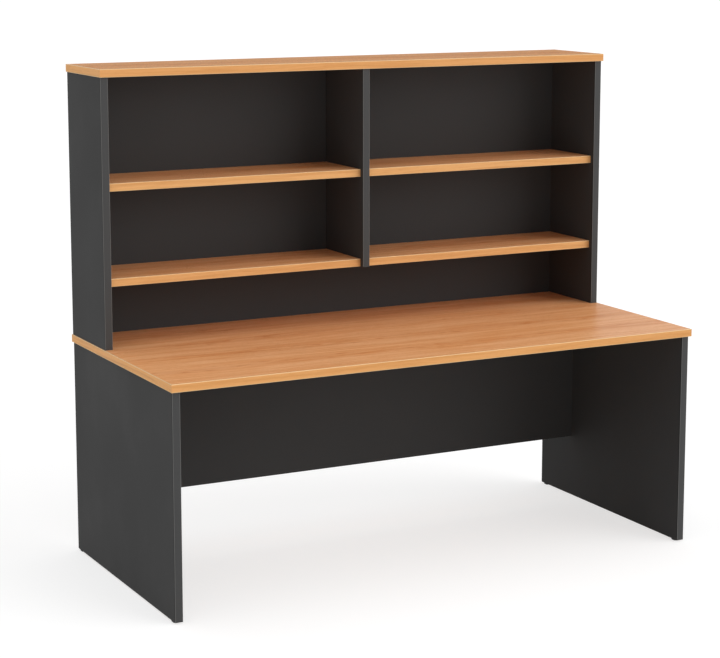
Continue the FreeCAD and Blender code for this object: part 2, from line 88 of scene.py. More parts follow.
# %% The wiring helper
class Wiring:
    """Adds nodes to one node tree and joins them."""

    def __init__(self, tree):
        self.tree = tree

    def add(self, kind, inputs=(), **settings):
        """A node of that kind; an input given a socket is linked to it, and any other is set."""
        node = self.tree.nodes.new(kind)
        for name, value in settings.items():
            setattr(node, name, value)
        for name, value in dict(inputs).items():
            if isinstance(value, bpy.types.NodeSocket):
                self.tree.links.new(value, node.inputs[name])
            else:
                node.inputs[name].default_value = value
        return node

    def sum(self, operation, *values):
        """The result of one arithmetic step on one, two or three values."""
        return self.add("ShaderNodeMath", dict(enumerate(values)), operation=operation).outputs[0]

    def fade(self, value, start, end):
        """0 where value is at start or before, 1 at end or past it, and smooth between."""
        node = self.add("ShaderNodeMapRange", {0: value, 1: start, 2: end},
                        interpolation_type="SMOOTHSTEP")
        return node.outputs[0]

    def tint(self, mask, below, above):
        """The colour below where mask is 0, and above where it is 1."""
        return self.add("ShaderNodeMix", {0: mask, 6: below, 7: above}, data_type="RGBA").outputs[2]

    def noise(self, place, stretch, detail=2.0, roughness=0.5):
        """Smooth noise whose lumps are 1 / stretch metres long on each axis."""
        mapped = self.add("ShaderNodeMapping", {"Vector": place, "Scale": stretch})
        inputs = {"Vector": mapped.outputs[0], "Scale": 1.0, "Detail": detail, "Roughness": roughness}
        return self.add("ShaderNodeTexNoise", inputs).outputs["Fac"]

    def leaning(self, axis):
        """How far the surface looks along an axis, either way: 0 at right angles to it, 1 along it."""
        normal = self.add("ShaderNodeTexCoord").outputs["Normal"]
        along = self.add("ShaderNodeVectorMath", {0: normal, 1: axis}, operation="DOT_PRODUCT")
        return self.sum("ABSOLUTE", along.outputs["Value"])


SOCKETS = {"value": "NodeSocketFloat", "vector": "NodeSocketVector", "colour": "NodeSocketColor"}


def new_group(name, inputs, outputs):
    """An empty node group with those named sockets, its wiring, its inputs and its output node."""
    tree = bpy.data.node_groups.new(name, "ShaderNodeTree")
    for socket, kind in inputs.items():
        tree.interface.new_socket(name=socket, in_out="INPUT", socket_type=SOCKETS[kind])
    for socket, kind in outputs.items():
        tree.interface.new_socket(name=socket, in_out="OUTPUT", socket_type=SOCKETS[kind])
    wires = Wiring(tree)
    given = wires.add("NodeGroupInput").outputs
    result = wires.add("NodeGroupOutput").inputs
    return tree, wires, given, result


def join(wires, result, **sockets):
    """Joins each named result of a group."""
    for name, socket in sockets.items():
        wires.tree.links.new(socket, result[name])


def colour(red, green, blue):
    """A colour given as it shows on a screen, 0 to 255, as the linear values that nodes take."""
    def linear(value):
        share = value / 255
        return share / 12.92 if share <= 0.04045 else ((share + 0.055) / 1.055) ** 2.4
    return (linear(red), linear(green), linear(blue), 1.0)


print("helpers ready:", ", ".join(SOCKETS))

# %% [markdown]
# ## Printed cherry
# The wood on this desk is only printed: a grain on paper, pressed under clear melamine, so it
# lies flat and runs the same way on every board. It could be painted as an image, but a pattern
# worked out from the place on the board needs no picture and never repeats.
#
# The print shows planks laid side by side. Down the middle of each runs a redder lane, where
# the saw met the growth rings nearly flat, and between the lanes the wood is straight and
# golden. Five scales build it: the lanes, the nested arches inside them, short dark flecks
# scattered along the lanes, long thin streaks everywhere, and pores as fine as a pencil line.
# The lanes and arches are measured out, and noise stretched along the grain breaks them up and
# makes the rest. A slow bend is added to the place first, so that everything wanders together,
# as real grain does. Each noise has its own stretch: how many lumps it has to a metre along the
# grain, across it and upwards. A mask made from a noise fades in between two of its values.

# %% The cherry grain group
PLANK_WIDTH = 0.182         # from the middle of one lane to the next, across the grain
LANE_MIDDLE = -0.086        # where one of the lanes lies
LANE_CORE = 0.018           # how far from its middle a lane keeps its full colour
LANE_RIM = 0.052            # and how far out it has faded
BETWEEN_LANES = 0.28        # how much of the lanes' colour is left between them
BEND_REACH = 0.07           # how far the slow bend can carry the print to the side, both ways together
RING_SPACING = 0.017        # between two growth rings, across the grain
RING_WOBBLE = 6.0           # how far noise moves the rings, in radians; about 6.3 is one ring
ARCH_SLOPE = 0.055          # how fast the rings close into an arch along the grain
ARCH_LENGTH = 0.62          # from the middle of one set of arches to where it meets the next set
ARCH_STAGGER = 1.7          # how far the arches move along the grain for each metre of height
STRETCH = {"bend": (1.1, 2.2, 7.0), "lanes": (2.2, 24.0, 9.0), "wobble": (3.0, 34.0, 9.0),
           "arches": (2.6, 5.0, 9.0), "flecks": (13.0, 70.0, 9.0), "streaks": (2.6, 84.0, 9.0),
           "pores": (55.0, 1500.0, 9.0)}
FADES_IN = {"lanes": (0.30, 0.66), "arches": (0.40, 0.60), "flecks": (0.57, 0.73),
            "streaks": (0.41, 0.64), "pores": (0.60, 0.72)}
FLECKS_IN_LANE = (0.2, 0.9)


def build_cherry_grain():
    """The five scales of the print, for grain that runs along the place's X."""
    tree, wires, given, result = new_group(
        "cherry_grain",
        {"Place": "vector"},
        {"Lanes": "value", "Arches": "value", "Flecks": "value", "Streaks": "value", "Pores": "value"})
    place = given["Place"]
    bend = wires.noise(place, STRETCH["bend"])
    shift = wires.sum("MULTIPLY", wires.sum("SUBTRACT", bend, 0.5), BEND_REACH)
    apart = wires.add("ShaderNodeSeparateXYZ", {0: place}).outputs
    across = wires.sum("ADD", apart["Y"], shift)
    bent = wires.add("ShaderNodeCombineXYZ", {"X": apart["X"], "Y": across, "Z": apart["Z"]}).outputs[0]

    from_middle = wires.sum("PINGPONG", wires.sum("SUBTRACT", across, LANE_MIDDLE), PLANK_WIDTH / 2)
    lane = wires.fade(from_middle, LANE_RIM, LANE_CORE)
    uneven = wires.noise(bent, STRETCH["lanes"], detail=3.0, roughness=0.6)
    faint_between = wires.sum("MULTIPLY_ADD", lane, 1.0 - BETWEEN_LANES, BETWEEN_LANES)
    lanes = wires.sum("MULTIPLY", faint_between, wires.fade(uneven, *FADES_IN["lanes"]))

    staggered = wires.sum("MULTIPLY_ADD", apart["Z"], ARCH_STAGGER, apart["X"])
    closing = wires.sum("MULTIPLY", wires.sum("PINGPONG", staggered, ARCH_LENGTH), ARCH_SLOPE)
    radius = wires.sum("SQRT", wires.sum("ADD", wires.sum("POWER", from_middle, 2.0),
                                         wires.sum("POWER", closing, 2.0)))
    wobble = wires.sum("MULTIPLY", wires.noise(bent, STRETCH["wobble"]), RING_WOBBLE)
    rings = wires.sum("SINE", wires.sum("MULTIPLY_ADD", radius, 2 * math.pi / RING_SPACING, wobble))
    here_and_there = wires.fade(wires.noise(place, STRETCH["arches"], detail=1.0), *FADES_IN["arches"])
    where = wires.sum("MULTIPLY", lane, here_and_there)
    arches = wires.sum("MULTIPLY", wires.fade(rings, 0.0, 1.0), where)

    dashes = wires.noise(bent, STRETCH["flecks"], detail=3.0, roughness=0.55)
    flecks = wires.sum("MULTIPLY", wires.fade(dashes, *FADES_IN["flecks"]),
                       wires.fade(lane, *FLECKS_IN_LANE))
    streaks = wires.noise(bent, STRETCH["streaks"], detail=5.0, roughness=0.74)
    pores = wires.noise(bent, STRETCH["pores"], detail=1.0)

    join(wires, result, Lanes=lanes, Arches=arches, Flecks=flecks,
         Streaks=wires.fade(streaks, *FADES_IN["streaks"]), Pores=wires.fade(pores, *FADES_IN["pores"]))
    return tree


cherry_grain = build_cherry_grain()
print("cherry grain:", len(cherry_grain.nodes), "nodes")

# %% [markdown]
# ## The press plate's texture
# Melamine is cured under a steel plate, and the plate leaves its skin on the board: fine
# pebbles about half a millimetre across and a few hundredths deep. They are too small to see
# as bumps, yet they are why the board has a soft sheen and no mirror image. One group gives
# their height, and broad clouds of more and less gloss, because no plate wears evenly. The
# cherry and the charcoal boards use it, and so does the feet's plastic, whose mould leaves a
# finer skin of the same kind.

# %% The pressed skin group
LUMPS_SHARE = 0.5           # how much noise of the same scale is added to the pebbles
CLOUD_STRETCH = (3.0, 3.0, 3.0)
CLOUD_FADE = (0.3, 0.7)


def build_pressed_skin():
    """The height of pebbles 1 / Pebbles metres across, and clouds in which the gloss changes."""
    tree, wires, given, result = new_group(
        "pressed_skin",
        {"Place": "vector", "Pebbles": "value"},
        {"Height": "value", "Gloss": "value"})
    cells = wires.add("ShaderNodeTexVoronoi", {"Vector": given["Place"], "Scale": given["Pebbles"]},
                      feature="SMOOTH_F1")
    lumps = wires.add("ShaderNodeTexNoise", {"Vector": given["Place"], "Scale": given["Pebbles"],
                                             "Detail": 1.0})
    height = wires.sum("ADD", cells.outputs["Distance"],
                       wires.sum("MULTIPLY", lumps.outputs["Fac"], LUMPS_SHARE))
    clouds = wires.noise(given["Place"], CLOUD_STRETCH, detail=3.0)
    join(wires, result, Height=height, Gloss=wires.fade(clouds, *CLOUD_FADE))
    return tree


pressed_skin = build_pressed_skin()
print("pressed skin:", len(pressed_skin.nodes), "nodes")

# %% [markdown]
# ## Rubbed corners and glue lines, with painted highlight and shade
# A strip is glued on oversize and scraped flush, which rounds its two long corners, cuts
# through any print on them and leaves the bare plastic paler. The strips' finishes paint those
# corners paler still, as a painted highlight. A hair of dark glue shows where the strip meets
# the board, and on the grey strips that line is widened into painted shade. The rounding is
# real geometry in the frame, so only its colour is wanted here. On the strip's flat face the
# surface direction points straight out, on the rounding it turns towards the board's own face,
# and at the joint it has got there. So one number finds both: how far the direction leans
# towards the board's faces. It works wherever the piece stands, once the group is told which
# way those faces look.

# %% The strip's edges group
CORNER_LEANS = (0.06, 0.30)         # where the flat face ends and where the scraped corner is plain
JOINT_LEANS = (0.70, 0.86)          # where the glue starts to show and where it is plain


def build_strip_edges():
    """Masks for the scraped corner of a strip and the glue line beside it, where the finishes also paint
    highlight and shade.
    """
    tree, wires, given, result = new_group(
        "strip_edges", {"Board looks along": "vector"}, {"Corner": "value", "Joint": "value"})
    lean = wires.leaning(given["Board looks along"])
    join(wires, result, Corner=wires.fade(lean, *CORNER_LEANS), Joint=wires.fade(lean, *JOINT_LEANS))
    return tree


strip_edges = build_strip_edges()
print("strip edges:", len(strip_edges.nodes), "nodes")

# %% [markdown]
# ## The chipboard core
# A board's faces are skinned, but its cut ends are bare where no strip covers them, as under
# the end panels. There the core shows: pale flakes pressed every way. A board's faces look
# along one known axis, so any part of it that looks another way is a cut end. The group is
# told that axis and gives back the mask, and the colour and the height of the flakes.

# %% The chipboard core group
FLAKE_PALE = colour(196, 160, 112)
FLAKE_DARK = colour(132, 98, 62)
FLAKES_A_METRE = 420.0
CUT_LEANS = (0.9, 0.5)      # above the first a surface is skin, and below the second it is a cut


def build_chipboard_core():
    """Where a board is cut, and the look of its flakes there."""
    tree, wires, given, result = new_group(
        "chipboard_core",
        {"Place": "vector", "Faces look along": "vector"},
        {"Cut": "value", "Flakes": "colour", "Height": "value"})
    cut = wires.fade(wires.leaning(given["Faces look along"]), *CUT_LEANS)
    flakes = wires.add("ShaderNodeTexVoronoi", {"Vector": given["Place"], "Scale": FLAKES_A_METRE})
    shade = wires.add("ShaderNodeSeparateColor", {0: flakes.outputs["Color"]}).outputs[0]
    join(wires, result, Cut=cut, Flakes=wires.tint(shade, FLAKE_DARK, FLAKE_PALE),
         Height=flakes.outputs["Distance"])
    return tree


chipboard_core = build_chipboard_core()
print("chipboard core:", len(chipboard_core.nodes), "nodes")

# %% [markdown]
# ## Handling
# Even a new desk isn't evenly clean. Palms leave the skin a little glossier in patches, and a
# film of dust settles on what faces up. Both are faint where the desk is used and wiped. They
# change the roughness more than the colour, which is what the eye notices when a highlight
# crosses the surface.

# %% The handling group
PALM_STRETCH, PALM_FADE = (4.0, 6.0, 4.0), (0.45, 0.65)
SPECK_STRETCH, SPECK_FADE = (260.0, 260.0, 260.0), (0.25, 0.65)
LEVEL_ENOUGH = (0.6, 1.0)           # how far a surface has to look up before dust stays on it


def build_handling():
    """Patches polished by hands, and dust on what faces up."""
    tree, wires, given, result = new_group(
        "handling", {"Place": "vector"}, {"Polish": "value", "Dust": "value"})
    patches = wires.noise(given["Place"], PALM_STRETCH, detail=4.0, roughness=0.6)
    normal = wires.add("ShaderNodeTexCoord").outputs["Normal"]
    upward = wires.add("ShaderNodeSeparateXYZ", {0: normal}).outputs["Z"]
    specks = wires.noise(given["Place"], SPECK_STRETCH)
    dust = wires.sum("MULTIPLY", wires.fade(upward, *LEVEL_ENOUGH), wires.fade(specks, *SPECK_FADE))
    join(wires, result, Polish=wires.fade(patches, *PALM_FADE), Dust=dust)
    return tree


handling = build_handling()
print("handling:", len(handling.nodes), "nodes")

# %% [markdown]
# ## Starting a material
# Each finish is one Principled shader with its own plain numbers, and nodes only where
# something changes over the surface. This helper makes the material, reads the place on the
# piece, and drops a group in with its own values.

# %% The material helper
POLISHED_BY = 0.04          # how much roughness the hands take off


class Finish(Wiring):
    """A material with a Principled shader, and the place on the piece as its pattern's ground."""

    def __init__(self, name, **plain):
        self.material = bpy.data.materials.new(name)
        self.material.use_nodes = True
        super().__init__(self.material.node_tree)
        self.shader = self.tree.nodes["Principled BSDF"]
        for socket, value in plain.items():
            self.shader.inputs[socket.replace("_", " ")].default_value = value
        self.place = self.add("ShaderNodeTexCoord").outputs["Object"]

    def use(self, group, **values):
        """Places a group, with its own values, and returns its outputs."""
        inputs = {name.replace("_", " "): value for name, value in values.items()}
        return self.add("ShaderNodeGroup", inputs, node_tree=group).outputs

    def turned(self, turn):
        """The place turned so that a pattern's X runs along another axis of the piece."""
        return self.add("ShaderNodeMapping", {"Vector": self.place, "Rotation": turn}).outputs[0]

    def drive(self, socket, value):
        """Joins a value that changes over the surface to one of the shader's sockets."""
        self.tree.links.new(value, self.shader.inputs[socket])

    def worn(self, hands, roughness):
        """Roughness that is a little lower where hands have polished the piece."""
        return self.sum("MULTIPLY_ADD", hands["Polish"], -POLISHED_BY, roughness)

    def emboss(self, height, depth, strength, under=None):
        """Turns a height into a surface direction, with depth in metres."""
        inputs = {"Height": height, "Distance": depth, "Strength": strength}
        if under is not None:
            inputs["Normal"] = under
        return self.add("ShaderNodeBump", inputs).outputs[0]


print("material helper ready")

# %% [markdown]
# ## Cherry melamine
# The worktop, the hutch's top and the four shelves. The ground is a warm golden tan. Each layer
# of the grain is laid over it in a colour that is redder and not only darker: red falls least,
# and green and blue fall further. A layer of plain dark brown at a small share would only look
# like shade. The colours are kept close to each other, because on the real board the grain is
# clear from a step away and nearly gone from across the room.
#
# The clear skin has a soft gloss, so the worktop shows a faint, blurred reflection of the bright
# room beyond the hutch. The hutch's top is out of reach of a cloth, so a film of dust greys its
# colour and dulls its gloss.

# %% Cherry melamine
CHERRY_GOLD = colour(239, 181, 131)
CHERRY_LANE = colour(222, 157, 108)
CHERRY_STREAK = colour(221, 147, 87)
CHERRY_ARCH = colour(214, 137, 76)
CHERRY_FLECK = colour(198, 116, 50)
CHERRY_LAYERS = [("Lanes", 0.70, CHERRY_LANE), ("Streaks", 0.80, CHERRY_STREAK),
                 ("Arches", 0.60, CHERRY_ARCH), ("Flecks", 0.75, CHERRY_FLECK),
                 ("Pores", 0.75, CHERRY_FLECK)]
DUST_FILM = colour(142, 126, 112)
DUST_DULLS = 0.08           # how much roughness the dust adds
SKIN_VARIES = 0.04          # how far the roughness changes over the pressed skin
FACES_UP = (0.0, 0.0, 1.0)
PEBBLES = 1800.0            # to a metre
PEBBLE_DEPTH = 0.00003
GRAIN_DEPTH = 0.00002


def print_grain(finish, grain, ground, layers):
    """The printed colour: each layer of the grain in turn, laid over the ground."""
    for layer, share, shade in layers:
        ground = finish.tint(finish.sum("MULTIPLY", grain[layer], share), ground, shade)
    return ground


def cherry_melamine(name, gloss, roughness, dust):
    """Printed cherry under a clear pressed skin and a film of dust, grain along the board."""
    finish = Finish(name, Specular_IOR_Level=gloss)
    grain = finish.use(cherry_grain, Place=finish.place)
    skin = finish.use(pressed_skin, Place=finish.place, Pebbles=PEBBLES)
    hands = finish.use(handling, Place=finish.place)
    printed = print_grain(finish, grain, CHERRY_GOLD, CHERRY_LAYERS)
    printed = finish.tint(finish.sum("MULTIPLY", hands["Dust"], dust), printed, DUST_FILM)
    core = finish.use(chipboard_core, Place=finish.place, Faces_look_along=FACES_UP)
    finish.drive("Base Color", finish.tint(core["Cut"], printed, core["Flakes"]))
    dusty = finish.sum("MULTIPLY_ADD", hands["Dust"], DUST_DULLS, finish.worn(hands, roughness))
    finish.drive("Roughness", finish.sum("MULTIPLY_ADD", skin["Gloss"], SKIN_VARIES, dusty))
    pores = finish.emboss(finish.sum("SUBTRACT", 1.0, grain["Pores"]), GRAIN_DEPTH, strength=0.5)
    finish.drive("Normal", finish.emboss(skin["Height"], PEBBLE_DEPTH, strength=0.4, under=pores))
    return finish.material


cherry_board = cherry_melamine("cherry_melamine_finish", gloss=0.03, roughness=0.28, dust=0.01)
cherry_dusty = cherry_melamine("cherry_melamine_dusty", gloss=0.01, roughness=0.75, dust=0.55)
print(cherry_board.name, len(cherry_board.node_tree.nodes), "nodes")

# %% [markdown]
# ## Cherry edging
# The strips that close the wooden boards are solid plastic, printed to match but yellower and
# cleaner than the faces. All of them are the same plastic, but the shelves' strips are printed
# paler and the short ends' strips brighter still, as painted light that stands in for more
# light on those faces. Their grain runs along each strip, so each finish is told how to turn the
# pattern. The scraped corners are the palest part, paler plastic with a painted highlight on
# top: they draw the thin cream line round the worktop.

# %% Cherry edging
EDGING_LONG = colour(231, 168, 105)
# painted light: the short ends' strips are the same plastic, printed brighter to stand in for more light
# on them
EDGING_SIDE_WITH_PAINTED_LIGHT = colour(248, 181, 106)
# painted light: the shelves' strips are the same plastic, printed paler to stand in for more light on them
EDGING_SHELF_WITH_PAINTED_LIGHT = colour(235, 178, 116)
EDGING_STREAK = colour(207, 141, 78)
# paler scraped plastic, lifted further as a painted highlight along the corners
EDGING_CORNER_AND_HIGHLIGHT = colour(246, 212, 162)
EDGING_LAYERS = [("Streaks", 0.5, EDGING_STREAK), ("Pores", 0.4, EDGING_STREAK)]
EDGING_ROUGHNESS = 0.38
CORNER_SMOOTHER = 0.08      # how much roughness the scraper takes off the corner
GLUE = colour(96, 66, 44)
GLUE_SHARE = 0.12
ALONG_THE_DESK = (math.pi / 2, 0.0, 0.0)
ACROSS_THE_DESK = (0.0, -math.pi / 2, -math.pi / 2)


def cherry_edging(name, turn, plastic):
    """Yellower printed plastic, its grain along the strip and its corners scraped pale, with a painted
    highlight on them.
    """
    finish = Finish(name, Specular_IOR_Level=0.10)
    grain = finish.use(cherry_grain, Place=finish.turned(turn))
    edges = finish.use(strip_edges, Board_looks_along=FACES_UP)
    hands = finish.use(handling, Place=finish.place)
    printed = print_grain(finish, grain, plastic, EDGING_LAYERS)
    # the corners: paler scraped plastic and a painted highlight
    printed = finish.tint(edges["Corner"], printed, EDGING_CORNER_AND_HIGHLIGHT)
    glued = finish.sum("MULTIPLY", edges["Joint"], GLUE_SHARE)
    finish.drive("Base Color", finish.tint(glued, printed, GLUE))
    rough = finish.sum("MULTIPLY_ADD", edges["Corner"], -CORNER_SMOOTHER, EDGING_ROUGHNESS)
    finish.drive("Roughness", finish.worn(hands, rough))
    finish.drive("Normal", finish.emboss(grain["Streaks"], GRAIN_DEPTH, strength=0.3))
    return finish.material


cherry_edge_long = cherry_edging("cherry_edging_long", ALONG_THE_DESK, EDGING_LONG)
cherry_edge_side_painted_light = cherry_edging("cherry_edging_side_painted_light", ACROSS_THE_DESK, EDGING_SIDE_WITH_PAINTED_LIGHT)
cherry_edge_shelf_painted_light = cherry_edging("cherry_edging_shelf_painted_light", ALONG_THE_DESK, EDGING_SHELF_WITH_PAINTED_LIGHT)
print(cherry_edge_long.name, cherry_edge_side_painted_light.name, cherry_edge_shelf_painted_light.name)

# %% [markdown]
# ## Charcoal melamine
# The uprights, the modesty panel and the hutch's back. This decor is one dark neutral grey with
# no figure at all, so its surface does the work: the pebbled skin catches the light in a soft
# bloom, and a faint mottle keeps it from looking like paint.
#
# The finish is told which way a board's faces look, to know where the board is cut. The boards
# that stand side-on carry strips down their front and rear edges. There a dark line about two
# millimetres wide is painted on the skin, partly the glue and the scraper's mark and partly
# painted shade along the joint, so those boards also say where their two edges are. The divider
# alone has no strip at its rear. Its second line lies in the corner with the back, and there it
# is painted shade only.

# %% Charcoal melamine
CHARCOAL_GROUND = colour(60, 60, 60)
CHARCOAL_MOTTLE = colour(67, 67, 67)
MOTTLE_STRETCH = (900.0, 900.0, 900.0)
CHARCOAL_DUST = colour(96, 94, 90)
CHARCOAL_DUST_SHARE = 0.2
CHARCOAL_ROUGHNESS = 0.58
CHARCOAL_VARIES = 0.05      # how far the roughness changes over the pressed skin
FACES_SIDEWAYS = (1.0, 0.0, 0.0)
FACES_FORWARDS = (0.0, 1.0, 0.0)
SEAM = 0.0018               # how far the dark line reaches onto the board; half as far again, it is gone
# glue and painted shade, laid wider than glue would lie; at the divider's rear, painted shade in the
# corner
SEAM_GLUE_AND_SHADE_GREY = colour(26, 26, 26)


def charcoal_melamine(name, faces, seams=None):
    """Plain dark grey under a pebbled skin, with a dark line at each seam: glue and painted shade."""
    finish = Finish(name, Specular_IOR_Level=0.07)
    skin = finish.use(pressed_skin, Place=finish.place, Pebbles=PEBBLES)
    hands = finish.use(handling, Place=finish.place)
    core = finish.use(chipboard_core, Place=finish.place, Faces_look_along=faces)
    mottle = finish.noise(finish.place, MOTTLE_STRETCH)
    ground = finish.tint(mottle, CHARCOAL_GROUND, CHARCOAL_MOTTLE)
    dusty = finish.sum("MULTIPLY", hands["Dust"], CHARCOAL_DUST_SHARE)
    ground = finish.tint(dusty, ground, CHARCOAL_DUST)
    # the seam line: glue and painted shade along the joint, and painted shade in the divider's rear corner
    if seams is not None:
        front, rear = seams
        depth = finish.add("ShaderNodeSeparateXYZ", {0: finish.place}).outputs["Y"]
        from_middle = finish.sum("ABSOLUTE", finish.sum("SUBTRACT", depth, (front + rear) / 2))
        edge = (rear - front) / 2
        ground = finish.tint(finish.fade(from_middle, edge - 1.5 * SEAM, edge - SEAM), ground, SEAM_GLUE_AND_SHADE_GREY)
    finish.drive("Base Color", finish.tint(core["Cut"], ground, core["Flakes"]))
    worn = finish.worn(hands, CHARCOAL_ROUGHNESS)
    finish.drive("Roughness", finish.sum("MULTIPLY_ADD", skin["Gloss"], CHARCOAL_VARIES, worn))
    finish.drive("Normal", finish.emboss(skin["Height"], PEBBLE_DEPTH, strength=0.5))
    return finish.material


charcoal_cross = charcoal_melamine("charcoal_cross_board", FACES_FORWARDS)
charcoal_sides = {}
for kind, board in {"end_panel": "end_panel_left", "hutch_side": "hutch_side_left",
                    "hutch_divider": "hutch_divider"}.items():
    low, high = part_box(board)
    charcoal_sides[kind] = charcoal_melamine(f"charcoal_{kind}", FACES_SIDEWAYS, (low.y, high.y))
    print(charcoal_sides[kind].name, round(low.y, 4), round(high.y, 4))

# %% [markdown]
# ## Charcoal edging
# Nearly the same grey in solid plastic. It has no pebbles, only the faint lines that the
# extruder draws along it, so it shines a little more than the board beside it. Its scraped
# corners are smoother and a little paler, and a painted highlight on them, far lighter than the
# plastic, draws two light lines down every upright. Beside the board the rounding is painted
# near black: a glue line, widened into painted shade.

# %% Charcoal edging
EDGE_GREY = colour(70, 70, 70)
EDGE_GREY_LINE = colour(64, 64, 64)
# paler scraped plastic, made far lighter as a painted highlight down the corners
EDGE_GREY_CORNER_AND_HIGHLIGHT = colour(120, 120, 118)
CORNER_SHARE = 0.9
EDGE_GREY_ROUGHNESS = 0.42
EDGE_GREY_SMOOTHER = 0.10   # how much roughness the scraper takes off the corner
DRAWN_LINES = (4.0, 1400.0, 1400.0)
# glue, laid wide on the rounding next to the board as painted shade
DARK_GLUE_AND_SHADE = colour(22, 22, 21)
UP_THE_DESK = (0.0, math.pi / 2, 0.0)


def charcoal_edging(name, turn, faces):
    """Plain grey plastic with drawn lines along the strip, paler corners with a painted highlight, and a
    dark line by the board that is glue and painted shade.
    """
    finish = Finish(name, Specular_IOR_Level=0.20)
    lines = finish.noise(finish.turned(turn), DRAWN_LINES, detail=1.0)
    edges = finish.use(strip_edges, Board_looks_along=faces)
    hands = finish.use(handling, Place=finish.place)
    ground = finish.tint(lines, EDGE_GREY, EDGE_GREY_LINE)
    # the corners: scraped plastic and a painted highlight
    scraped = finish.sum("MULTIPLY", edges["Corner"], CORNER_SHARE)
    ground = finish.tint(scraped, ground, EDGE_GREY_CORNER_AND_HIGHLIGHT)
    # the dark line by the board: glue and painted shade
    finish.drive("Base Color", finish.tint(edges["Joint"], ground, DARK_GLUE_AND_SHADE))
    rough = finish.sum("MULTIPLY_ADD", edges["Corner"], -EDGE_GREY_SMOOTHER, EDGE_GREY_ROUGHNESS)
    finish.drive("Roughness", finish.worn(hands, rough))
    finish.drive("Normal", finish.emboss(lines, GRAIN_DEPTH, strength=0.3))
    return finish.material


charcoal_edge_upright = charcoal_edging("charcoal_edging_upright", UP_THE_DESK, FACES_SIDEWAYS)
charcoal_edge_level = charcoal_edging("charcoal_edging_level", (0.0, 0.0, 0.0), FACES_FORWARDS)
charcoal_edge_side = charcoal_edging("charcoal_edging_side", (0.0, 0.0, math.pi / 2), FACES_SIDEWAYS)
print(charcoal_edge_upright.name, charcoal_edge_level.name, charcoal_edge_side.name)

# %% [markdown]
# ## The feet's plastic, the studs' steel and the beech
# The feet are moulded in black plastic with a spark-eroded grain. The studs are steel with a
# thin, slightly yellow zinc plating that clouds unevenly. Biscuits and dowels are pressed
# beech. They are shut inside the joints and show only when the desk is taken apart, but a part
# that someone may open deserves its real stuff.

# %% Moulded plastic
BLACK_PLASTIC = colour(24, 24, 24)
BLACK_SCUFF = colour(60, 60, 60)
PLASTIC_GRAIN = 3000.0      # pebbles to a metre
SCUFF_STRETCH, SCUFF_FADE, SCUFF_SHARE = (300.0, 300.0, 300.0), (0.55, 0.75), 0.5
PLASTIC_ROUGHNESS, PLASTIC_VARIES = 0.50, 0.10


def black_plastic():
    """Black plastic with a moulded grain, scuffed grey in patches."""
    finish = Finish("black_plastic_finish", Specular_IOR_Level=0.5)
    skin = finish.use(pressed_skin, Place=finish.place, Pebbles=PLASTIC_GRAIN)
    scuffs = finish.noise(finish.place, SCUFF_STRETCH, detail=4.0, roughness=0.7)
    scuffed = finish.sum("MULTIPLY", finish.fade(scuffs, *SCUFF_FADE), SCUFF_SHARE)
    finish.drive("Base Color", finish.tint(scuffed, BLACK_PLASTIC, BLACK_SCUFF))
    finish.drive("Roughness", finish.sum("MULTIPLY_ADD", skin["Gloss"], PLASTIC_VARIES, PLASTIC_ROUGHNESS))
    finish.drive("Normal", finish.emboss(skin["Height"], PEBBLE_DEPTH, strength=0.5))
    return finish.material


moulded_black = black_plastic()
print(moulded_black.name)

# %% Zinc plated steel
ZINC = colour(190, 190, 184)
ZINC_YELLOW = colour(186, 178, 150)
BLOOM_STRETCH, BLOOM_FADE = (120.0, 120.0, 120.0), (0.35, 0.65)
ZINC_ROUGHNESS, ZINC_VARIES = 0.22, 0.20
SCRATCH_STRETCH, SCRATCH_DEPTH = (2500.0, 2500.0, 300.0), 0.000005


def zinc_steel():
    """Bright zinc plating with a cloudy, faintly yellow bloom."""
    finish = Finish("zinc_steel_finish", Metallic=1.0)
    bloom = finish.noise(finish.place, BLOOM_STRETCH, detail=4.0, roughness=0.6)
    scratches = finish.noise(finish.place, SCRATCH_STRETCH, detail=1.0)
    finish.drive("Base Color", finish.tint(finish.fade(bloom, *BLOOM_FADE), ZINC, ZINC_YELLOW))
    finish.drive("Roughness", finish.sum("MULTIPLY_ADD", bloom, ZINC_VARIES, ZINC_ROUGHNESS))
    finish.drive("Normal", finish.emboss(scratches, SCRATCH_DEPTH, strength=0.5))
    return finish.material


plated_steel = zinc_steel()
print(plated_steel.name)

# %% Beech
BEECH_PALE = colour(214, 178, 136)
BEECH_DARK = colour(184, 140, 98)
BEECH_GRAIN, BEECH_FADE, BEECH_DEPTH = (60.0, 700.0, 700.0), (0.3, 0.7), 0.0001
BEECH_FLECKS, BEECH_FLECK_FADE, BEECH_FLECK_SHARE = (500.0, 2200.0, 500.0), (0.58, 0.66), 0.5


def beech():
    """Pale pressed beech with short brown flecks."""
    finish = Finish("beech_finish", Roughness=0.7, Specular_IOR_Level=0.3)
    grain = finish.noise(finish.place, BEECH_GRAIN, detail=3.0)
    flecks = finish.fade(finish.noise(finish.place, BEECH_FLECKS, detail=1.0), *BEECH_FLECK_FADE)
    wood = finish.tint(finish.fade(grain, *BEECH_FADE), BEECH_PALE, BEECH_DARK)
    flecked = finish.sum("MULTIPLY", flecks, BEECH_FLECK_SHARE)
    finish.drive("Base Color", finish.tint(flecked, wood, BEECH_DARK))
    finish.drive("Normal", finish.emboss(grain, BEECH_DEPTH, strength=0.4))
    return finish.material


pressed_beech = beech()
print(pressed_beech.name)

# %% [markdown]
# ## Handing the finishes out
# Each part of the frame says which slot its finish belongs to. Boards and strips also need to
# know which way they lie, and the part's own box tells that: a board is thinnest along the
# axis that its faces look along, and a strip is longest along its grain.

# %% Assign the finishes
def extent(name):
    """A part's size on each axis."""
    low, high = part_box(name)
    return high - low


def longest_axis(name):
    """0, 1 or 2 for the axis along which the part is longest."""
    size = extent(name)
    return max(range(3), key=lambda axis: size[axis])


